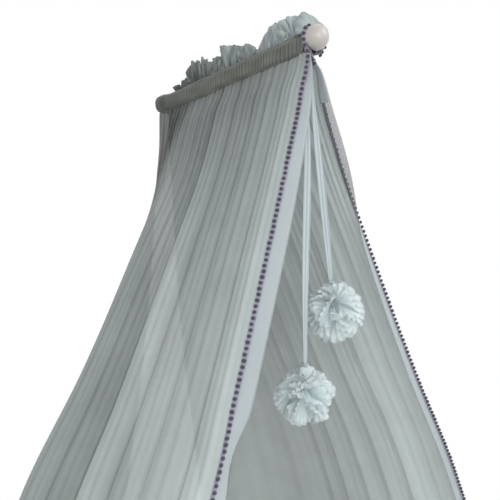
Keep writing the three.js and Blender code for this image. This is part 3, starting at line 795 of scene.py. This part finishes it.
def drop_surface(which):
    """Each level runs from the front hem's edge across the band, straight towards the rear corner,
    round it and in to the wall. Folds stand out from that line: broad ones that deepen downwards,
    narrow ones that die out, both wandering a little. The hems turn back inside the edges."""
    side, seed = which["side"], which["seed"]
    level = np.linspace(0, 1, drop_rows) ** 1.1
    level = np.concatenate([[0], level, np.linspace(1, 1 - hem_height_share, hem_rows + 1)[1:]])
    fold_steps = np.arange(fold_count * columns_per_fold + 1)[1:] / columns_per_fold
    across = np.concatenate([
        np.linspace(0, -1, band_columns),
        np.linspace(-1, 0, band_columns)[1:],
        smooth_curve(np.arange(fold_count + 1), fold_marks, fold_steps),
    ])
    inside_rows = np.arange(len(level)) > drop_rows
    inside_columns = np.arange(len(across)) < band_columns - 1
    trim_line, band_way, corner, wall_edge = (line[:, None] for line in drop_lines(which, level))
    start = trim_line - band_way * trim_width / 2
    to_corner, to_wall = corner - start, wall_edge - corner

    along = np.clip(across, 0, 1)
    from_corner = along - corner_share
    round_corner = np.clip(0.5 + from_corner / (2 * corner_soft_share), 0, 1)
    past = corner_soft_share * round_corner ** 2 + np.maximum(from_corner - corner_soft_share, 0)
    first, second = (along - past) / corner_share, past / (1 - corner_share)
    band = hem_band_width * smooth_curve(level_marks, which["band"], level) + trim_width / 2
    base = start + to_corner * first[:, None] + to_wall * second[:, None]
    base = base + band_way * band[:, None, None] * np.clip(-across, 0, 1)[:, None]

    folds_from = 2 * band_columns - 2
    way = np.gradient(np.stack([first, second], axis=-1)[folds_from:], axis=0)
    way = np.concatenate([np.repeat(way[:1], folds_from, axis=0), way])
    run = unit(to_corner * way[:, :1] + to_wall * way[:, 1:])
    outward = side * quarter_turn(run)

    down, over = level[:, None], along[None, :]
    wander = fold_wander * np.sin(2.4 * down + 5 * over + seed) * down
    number = smooth_curve(fold_marks, np.arange(fold_count + 1), np.clip(over + wander, 0, 1))
    broad_turn = 2 * np.pi * number
    size = per_fold(fold_size_shares, number)
    fine = (0.5 - 0.5 * np.cos(broad_turn)) ** which["roundness"]
    joined_number = smooth_curve(joined_folds, np.arange(len(joined_folds)), number)
    joined = (0.5 - 0.5 * np.cos(2 * np.pi * joined_number)) ** which["roundness"]
    gather = np.exp(-2.5 * down)
    fine_weight, joined_weight = 0.22 + 0.78 * gather, 1 - 0.7 * gather
    broad = 0.5 * fine * size * fine_weight
    broad = broad + 0.85 * joined * per_fold(joined_size_shares, joined_number) * joined_weight
    broad_depth = fold_depth * smooth_curve(level_marks, fold_depth_shares, down)
    narrow = (0.5 - 0.5 * np.cos(2 * broad_turn + 1.2 * np.sin(17 * over + 2 * down))) ** 0.8
    narrow_depth = narrow_depth_above * np.exp(-4.2 * down) + narrow_depth_below * np.exp(-1.2 * down)
    narrow_depth = which["narrow"] * narrow_depth * (0.8 + 0.4 * ripples(seed, 5, 24, over, down * 0.15))
    crumple = drop_crumple_depth * ripples(seed + 1, 9, 46, over, down * 0.55) * np.clip(6 * down, 0, 1)
    relief = broad * broad_depth + narrow * narrow_depth * np.clip(40 * down, 0.35, 1) + crumple
    slide = np.sin(broad_turn) * size * fine_weight + np.sin(2 * np.pi * joined_number) * joined_weight
    slide = -fold_slide * slide * broad_depth
    fade_in = np.clip(1.5 * fold_count * over, 0, 1) * np.clip((1 - over) * fold_count, 0, 1)
    base = base + outward * (fade_in * relief)[..., None] + run * (fade_in * slide)[..., None]
    inward = hem_gap * inside_rows[:, None] + hem_gap * inside_columns
    on_band = ((across < 0) | inside_columns)[:, None]
    base = base - np.where(on_band, -side * quarter_turn(band_way), outward) * inward[..., None]

    x = side * np.maximum(side * base[..., 0], least_offset)
    points = grid_of(x, base[..., 1], drop_top - drop_length * down)
    tuck = np.clip((tuck_end - points[0, :, 1]) / tuck_run, 0, 1)
    points[0, :, 0] *= tuck_share + (1 - tuck_share) * tuck
    points[0, :, 1] = np.maximum(points[0, :, 1], channel_front)
    points[0, :, 2] += tuck_rise
    # Painted shade: each fold has its own shade, rear folds darker than front ones, the valleys darker, the
    # top darker under the channel and the rear corner by the wall darker near the top; the hem band has none.
    valley_shade = smooth_curve(np.arange(fold_count + 1), which["valley_shades"], number)
    valley_shade = valley_shade * (0.45 * fine_weight * (1 - fine) ** 1.4 + 0.6 * joined_weight * (1 - joined) ** 1.6)
    near_top = np.exp(-8 * down)
    tone = per_fold(which["fold_shades"], number) * (1 - near_top)
    tone = tone + which["top_shade"] * (0.7 - 0.35 * np.exp(-8 * over)) * near_top
    painted_shade = tone + 0.26 * valley_shade + 0.10 * (1 - narrow) * np.exp(-2 * down)
    rear = np.clip((over - 0.70 - 1.2 * down) / 0.12, 0, 1) + np.clip((over - 0.80) / 0.12, 0, 1)
    painted_shade = painted_shade + which["rear_shade"] * rear / 2 * np.clip((0.20 - down) / 0.15, 0, 1)
    return points, np.where(across < 0, 0, painted_shade), across, level


def length_along(line):
    """How far along a line each of its points lies."""
    return np.concatenate([[0], np.cumsum(np.linalg.norm(np.diff(line, axis=0), axis=-1))])


drop_voile = voile("drop_voile", srgb(58, 63, 58), srgb(212, 222, 221), 0.72, uneven=0.05)
hem_voile = voile("hem_voile", srgb(150, 159, 159), srgb(184, 193, 195), 0.75)
sheer_hem_voile = voile("sheer_hem_voile", srgb(104, 106, 112), srgb(142, 145, 152), 0.26)
drop_finishes = [drop_voile, hem_voile, sheer_hem_voile]
drops = {}
for which_name, which in drop_sides.items():
    points, painted_shade, across, level = drop_surface(which)
    uv = grid_of(length_along(points[measured_row]), -drop_length * level[:, None])
    if which["side"] > 0:
        points, painted_shade, uv, across = points[:, ::-1], painted_shade[:, ::-1], uv[:, ::-1], across[::-1]
    drops[which_name] = cloth_piece(
        f"{which_name}_curtain", (points, painted_shade), uv, drop_finishes, cloth_thickness,
        "canopy", [f"{which_name}_drop"],
    )
    middle_level = (level[:-1] + level[1:])[:, None] / 2
    band_quads = across[:-1] + across[1:] < 0
    low_quads = middle_level > 1 - hem_height_share
    sheer_quads = (middle_level > sheer_levels[0]) & (middle_level < sheer_levels[1]) & (which["side"] > 0)
    finish_index = np.where(band_quads | low_quads, 1, 0) + (band_quads & sheer_quads)
    polygons = drops[which_name].data.polygons
    polygons.foreach_set("material_index", finish_index.reshape(-1).astype(np.int32))


# Bobble trim: a woven lilac tape that carries a row of small felted bobbles. It is sewn up the left
# drop's front, round the channel's end and along the hood's edge, and down the right drop's front.
bobble_pitch = 0.0105
bobble_radius = 0.0039
bobble_shift = 0.0008
tape_width = 0.0086
tape_thickness = 0.0010
tape_step = 0.004
tape_lift = 0.0006
tape_rib_pitch = 0.0022
bobble_shape = (1.15, 0.98, 0.85)
bobble_seat_share = 0.62
bobble_stray = 0.0007
trim_steps = 400
trim_end_share = 0.998
head_steps = 240


def tape_finish(name):
    """Woven tape: fine cross ribs along its length, with a lighter and a darker lilac thread."""
    material, tree, shader = finish(name, {"Roughness": 0.8, "Sheen Weight": 0.2})
    ribs = node(tree, "TexWave", {
        "Vector": node(tree, "TexCoord").outputs["UV"],
        "Scale": wave_pitch / tape_rib_pitch,
        "Distortion": 1.0,
    }, bands_direction="Y").outputs["Fac"]
    tone = mixed(tree, ribs, srgb(132, 126, 146), srgb(170, 165, 183))
    set_surface(tree, shader, tone, ribs, 0.6, 0.0005)
    return material


def felt(name):
    """Felted wool: a mottled slate purple with a short fuzzy bump and a soft sheen."""
    material, tree, shader = finish(name, {"Roughness": 0.95, "Sheen Weight": 0.5, "Sheen Roughness": 0.6})
    fuzz = noise(tree, node(tree, "TexCoord").outputs["Object"], 900.0, 3.0)
    tone = mixed(tree, fuzz, srgb(20, 17, 30), srgb(56, 50, 76))
    set_surface(tree, shader, tone, fuzz, 0.8, 0.0006)
    return material


lilac_tape = tape_finish("lilac_tape")
slate_felt = felt("slate_felt")


def spaced(line, ways, pitch):
    """At even steps along a line: how far along it each lies, its point and the unit ways there."""
    run = length_along(line)
    at = np.arange(pitch / 2, run[-1], pitch)
    places, *ways = (
        np.stack([np.interp(at, run, track) for track in values.T], axis=-1)
        for values in (line, *ways)
    )
    return at, places, *map(unit, ways)


def copies_mesh(name, points, faces):
    """One smooth mesh of many copies of a net of faces, each with points of its own."""
    first_points = np.arange(len(points)) * points.shape[1]
    all_faces = faces + first_points[:, None, None]
    mesh = bpy.data.meshes.new(name)
    mesh.from_pydata(points.reshape(-1, 3), [], all_faces.reshape(-1, faces.shape[1]))
    mesh.polygons.foreach_set("use_smooth", np.ones(len(mesh.polygons), bool))
    return mesh


def sew_trim(name, replaced, line, facing, side_way, bare=0):
    """The tape is a flat box carried along its line, a little off the cloth; the bobbles sit on it at
    even steps after its bare start, each a ball pressed a little flat."""
    step_at, places, faces, sides = spaced(line, (facing, side_way), tape_step)
    top = tape_lift + tape_thickness
    ring = np.stack([
        places + sides * (across * tape_width / 2 + bobble_shift) + faces * lift
        for across, lift in ((-1, tape_lift), (1, tape_lift), (1, top), (-1, top))
    ], axis=1)
    uv = grid_of(np.arange(4) * tape_width, step_at[:, None])
    tape = grid_mesh(f"{name}_tape", ring, uv, wraps=True)
    mend(tape, merge=0, fill=True)
    tape.set_sharp_from_angle(angle=math.radians(40))

    bobble_at, *spots = spaced(line, (facing, side_way), bobble_pitch)
    places, faces, sides = (values[bobble_at > bare] for values in spots)
    ball = bmesh.new()
    bmesh.ops.create_icosphere(ball, subdivisions=2, radius=1)
    ball_points = np.array([vertex.co[:] for vertex in ball.verts])
    ball_faces = np.array([[vertex.index for vertex in face.verts] for face in ball.faces])
    ball.free()
    draw = np.random.default_rng(51)
    size = bobble_radius * draw.uniform(0.9, 1.08, (len(places), 1, 1))
    stray = draw.uniform(-bobble_stray, bobble_stray, (len(places), 1))
    middle = places + faces * (top + bobble_radius * bobble_seat_share) + sides * (stray - bobble_shift / 2)
    axes = np.stack([sides, np.cross(faces, sides), faces], axis=1)
    bobble_points = middle[:, None] + (ball_points * size * bobble_shape) @ axes
    bobbles = copies_mesh(f"{name}_bobbles", bobble_points, ball_faces)
    return [
        add_piece(f"{name}_tape", tape, lilac_tape, "canopy", [replaced]),
        add_piece(f"{name}_bobbles", bobbles, slate_felt, "canopy", ()),
    ]


for which_name, which in drop_sides.items():
    level = np.linspace(0, trim_end_share, trim_steps)
    trim_line, band_way = drop_lines(which, level)[:2]
    line = np.column_stack([trim_line, drop_top - drop_length * level])
    facing = np.column_stack([-which["side"] * quarter_turn(band_way), 0 * level])
    side_way = np.column_stack([band_way, 0 * level])
    trim = sew_trim(which_name, f"{which_name}_bobble_trim", line, facing, side_way, which["bare_trim"])

head_marks = [
    (-0.004, -0.591, -0.047), (0.003, -0.592, -0.041), (-0.005, -0.592, -0.036), (-0.003, -0.591, -0.030),
    (-0.010, -0.589, -0.0245), (-0.0155, -0.587, -0.017), (-0.0185, -0.586, -0.007), *hood_edge,
]
head_line = curve_through(head_marks, np.linspace(0, 1, head_steps))
head_run = np.gradient(head_line, axis=0)
head_side = np.cross(head_line * (1, 0, 1) + (0, 0, 0.004), head_run)
head_face = np.cross(head_run, head_side)
head_trim = sew_trim("heading", "header_bobble_trim", head_line, head_face, head_side)


# Ribbons: torn strips of the same voile. Each is tied round the rod behind the ball and hangs down
# to a pom-pom, gathered at its knot and round the pom-pom's neck and folded along its length.
loop_bore = 0.01439
loop_thickness = 0.002
loop_width = 0.0044
knot_radius = 0.0036
knot_drop = 0.01819
hangings = {
    "lower": {
        "place": -0.5725, "knot": math.radians(14.3), "lean": 0.0, "hang": 0.676, "radius": 0.063,
        "bow": 1.0, "seed": 61,
    },
    "upper": {
        "place": -0.5773, "knot": math.radians(-14.3), "lean": math.radians(7.6), "hang": 0.523,
        "radius": 0.065, "bow": -0.4, "seed": 71,
    },
}
ribbon_width = 0.0205
ribbon_bow = 0.008
ribbon_rows = 90
ribbon_columns = 13
ribbon_width_marks = [0, 0.05, 0.16, 0.3, 0.5, 0.75, 0.92, 1]
ribbon_width_shares = [0.3, 0.32, 0.46, 0.86, 1, 0.86, 0.62, 0.5]
ribbon_tuck = 0.0006
ribbon_end_share = 0.86
gutter_depth = 0.0022
ribbon_pleat_depth = 0.0012
ribbon_wave_depth = 0.0010
loop_inset = 0.0001
loop_crease_depth = 0.00035
loop_steps = 72
loop_sides = 20
knot_rows = 18
knot_sides = 28
thin_thickness = 0.0005


def hung(points, hanging):
    """Moves points given below a knot to where it hangs, leaning sideways by its own angle."""
    sine, cosine = math.sin(hanging["lean"]), math.cos(hanging["lean"])
    x, y, z = np.moveaxis(points, -1, 0)
    return grid_of(
        x * cosine - z * sine - knot_drop * math.sin(hanging["knot"]),
        y + hanging["place"],
        x * sine + z * cosine - knot_drop * math.cos(hanging["knot"]),
    )


def ribbon_surface(hanging):
    """A strip from just under the knot to the neck. Its width swells and narrows again, it is folded
    to a shallow gutter with a soft middle pleat, and it turns a little as it falls."""
    seed = hanging["seed"]
    down = np.linspace(0, 1, ribbon_rows)[:, None]
    over = np.linspace(-1, 1, ribbon_columns)[None, :]
    top, bottom = ribbon_tuck - knot_radius, hanging["radius"] * ribbon_end_share - hanging["hang"]
    width = smooth_curve(ribbon_width_marks, ribbon_width_shares, down)
    twist = 0.35 * np.sin(3.1 * down + seed) * np.clip(5 * down, 0, 1)
    pleat = np.cos(2.2 * np.pi * over + 2 * down)
    through = gutter_depth * (np.abs(over) ** 1.5 - 0.5) * (1.2 - down)
    through = through + ribbon_pleat_depth * pleat * (1.15 - 0.6 * width)
    through = through + ribbon_wave_depth * np.sin(6 * down + seed) * np.clip(6 * down, 0, 1)
    flat_x = ribbon_width / 2 * width * over
    points = grid_of(
        ribbon_bow * hanging["bow"] * np.sin(np.pi * down ** 0.65) ** 2
        + flat_x * np.cos(twist) - through * np.sin(twist),
        0.5 * flat_x * np.sin(twist) + through * np.cos(twist),
        top + (bottom - top) * down,
    )
    # Painted shade: darker along the pleat and just under the knot.
    return hung(points, hanging), 0.25 + 0.5 * pleat + 0.4 * np.exp(-9 * down)


def loop_surface(hanging):
    """A strip once round the rod, creased along its length, in a ring about the rod's axis."""
    around, section = full_turn(loop_steps)[:, None], full_turn(loop_sides)
    fold = np.sin(3 * section + 2 * np.sin(2 * around))
    radius = loop_bore + loop_thickness / 2 + (loop_thickness / 2 - loop_inset) * np.sin(section)
    radius = radius + loop_crease_depth * np.maximum(fold, 0)
    place = hanging["place"] + (loop_width / 2 - loop_inset) * np.cos(section)
    # Painted shade that follows the strip's creases.
    return grid_of(radius * np.sin(around), place, radius * np.cos(around)), 0.4 + 0.4 * fold


def knot_surface(hanging):
    """A plump knot: a ball whose radius winds in three soft rolls round a slanting axis."""
    polar, around = np.linspace(0, np.pi, knot_rows)[:, None], full_turn(knot_sides)
    roll = np.cos(6 * polar + 2 * np.sin(around))
    radius = knot_radius * (1 + 0.10 * roll)
    points = grid_of(
        1.1 * radius * np.sin(polar) * np.cos(around),
        1.02 * loop_width / 2 * np.sin(polar) * np.sin(around),
        radius * np.cos(polar),
    )
    # Painted shade that follows the knot's rolls.
    return hung(points, dict(hanging, lean=0)), 0.5 + 0.4 * roll


def wound_piece(name, surface, body, replaced=(), ring=True):
    """A turn or a knot of ribbon from a grid that wraps round. A ring's last row joins its first; a
    ball's first and last rows each close to a point."""
    if ring:
        surface = [np.concatenate([values, values[:1]]) for values in surface]
    points, painted_shade = surface
    mesh = grid_mesh(name, points, wraps=True)
    set_painted_shade(mesh, painted_shade)
    mend(mesh)
    add_piece(name, mesh, ribbon_voile, body, replaced)


ribbon_voile = voile("ribbon_voile", srgb(158, 170, 174), srgb(202, 212, 215), 0.75, thread=0.0009)
for hang_name, hanging in hangings.items():
    ribbon_uv = grid_of(
        np.linspace(0, ribbon_width, ribbon_columns),
        np.linspace(0, hanging["hang"], ribbon_rows)[:, None],
    )
    ribbon = cloth_piece(
        f"{hang_name}_voile_ribbon", ribbon_surface(hanging), ribbon_uv, ribbon_voile, thin_thickness,
        f"{hang_name}_hanging", [f"{hang_name}_ribbon"],
    )
    loop_body = f"{hang_name}_loop"
    wound_piece(f"{hang_name}_loop_band", loop_surface(hanging), loop_body, [f"{hang_name}_ribbon_loop"])
    wound_piece(f"{hang_name}_knot", knot_surface(hanging), loop_body, ring=False)


# Pom-poms: long strips of soft tulle, pleated and tied tight at the neck, then cut into broad fans
# and fluffed out to a ball.
fan_count = 38
fan_across = 29
fan_out = 9
fan_flat = (0.09, 0.06)
neck_place_share = 0.34
crown_share = 0.93
neck_bore = 0.0048
tie_height = 0.005
tie_radius = 0.008
tie_gap = 0.0003
tie_steps = 40
tie_sides = 18


def petal_cloud(hanging):
    """Pleated fans that spread from the neck to directions set evenly over a ball. Each widens
    outwards, rises and falls in sharp pleats across its width, and curls over at its ragged rim."""
    radius = hanging["radius"]
    draw = np.random.default_rng(hanging["seed"])
    number = np.arange(fan_count)
    height = 1 - 2 * (number + 0.5) / fan_count
    longitude = number * math.pi * (3 - math.sqrt(5))
    flat = np.sqrt(1 - height ** 2)
    out = grid_of(flat * np.cos(longitude), flat * np.sin(longitude), height)
    out = unit(out + draw.normal(0, 0.12, out.shape))
    side = unit(np.cross(out, draw.normal(0, 1, out.shape)))
    back = np.cross(out, side)
    over = np.linspace(-1, 1, fan_across)[None, None, :]
    reach = np.linspace(0, 1, fan_out)[None, :, None]
    each = (fan_count, 1, 1)
    widest = draw.uniform(0.50, 0.85, each)
    pleats = draw.integers(4, 7, each)
    start = draw.uniform(0, 2 * np.pi, each)
    curl = draw.uniform(-0.30, 0.30, each)
    pleat = 2 / np.pi * np.arcsin(np.sin(np.pi * pleats * over + start) * 0.97)
    rim = draw.uniform(0.90, 1.03, each) * (1 - 0.05 * np.abs(pleat) - 0.09 * over ** 2)
    spread = widest * reach ** 0.9 * over * (1 - 0.12 * np.abs(curl))
    ruffle = 0.095 * reach * pleat + curl * reach ** 2.4 + 0.05 * reach * np.sin(2.2 * over + start)
    direction = unit(
        out[:, None, None] + side[:, None, None] * spread[..., None] + back[:, None, None] * ruffle[..., None]
    )
    neck = np.array([0, 0, radius * neck_place_share])
    share = (0.10 + 0.90 * reach)[..., None]
    points = neck + (direction * (radius * rim)[..., None] - neck) * share
    points[..., 2] = np.minimum(points[..., 2], radius * crown_share)
    points[..., 2] -= hanging["hang"]
    # Painted shade: darker towards the neck and in the pleats, and slightly at the rim.
    painted_shade = 0.55 - 0.55 * reach + 0.45 * np.clip(-pleat, 0, 1) * (1 - 0.5 * reach)
    painted_shade = painted_shade + 0.25 * np.clip(reach - 0.9, 0, 1)
    return hung(points, hanging), painted_shade


def neck_tie(hanging):
    """The tie round the neck: a few turns of ribbon, as a ring with three soft ridges."""
    around, section = full_turn(tie_steps)[:, None], full_turn(tie_sides)
    ridge = np.cos(3 * section + around)
    half_depth = (tie_radius - neck_bore) / 2 * (0.92 + 0.08 * ridge)
    ring = (neck_bore + tie_radius) / 2 + half_depth * np.cos(section)
    foot = hanging["radius"] * crown_share - hanging["hang"] + tie_gap
    height = foot + tie_height / 2 * (1 + 0.96 * np.sin(section))
    # Painted shade that follows the tie's ridges.
    return hung(grid_of(ring * np.cos(around), ring * np.sin(around), height), hanging), 0.4 + 0.3 * ridge


soft_tulle = voile("soft_tulle", srgb(206, 228, 233), srgb(244, 253, 253), 0.40, thread=0.0013, sheen=0.5)
fan_quads = cell_corners(np.arange(fan_out * fan_across).reshape(fan_out, fan_across)).reshape(-1, 4)
fan_uv = grid_of(np.linspace(0, fan_flat[0], fan_across), np.linspace(0, fan_flat[1], fan_out)[:, None])
fan_corners = cell_corners(fan_uv).reshape(-1).astype(np.float32)
for hang_name, hanging in hangings.items():
    hanging_body = f"{hang_name}_hanging"
    points, painted_shade = petal_cloud(hanging)
    mesh = copies_mesh(f"{hang_name}_tulle_petals", points.reshape(fan_count, -1, 3), fan_quads)
    layer = mesh.uv_layers.new(name="cloth")
    layer.data.foreach_set("uv", np.tile(fan_corners, fan_count))
    set_painted_shade(mesh, painted_shade)
    tulle = add_piece(mesh.name, mesh, soft_tulle, hanging_body, [f"{hang_name}_pompom"])
    thicken(tulle, thin_thickness)
    wound_piece(f"{hang_name}_neck_tie", neck_tie(hanging), hanging_body, [f"{hang_name}_pompom_tie"])
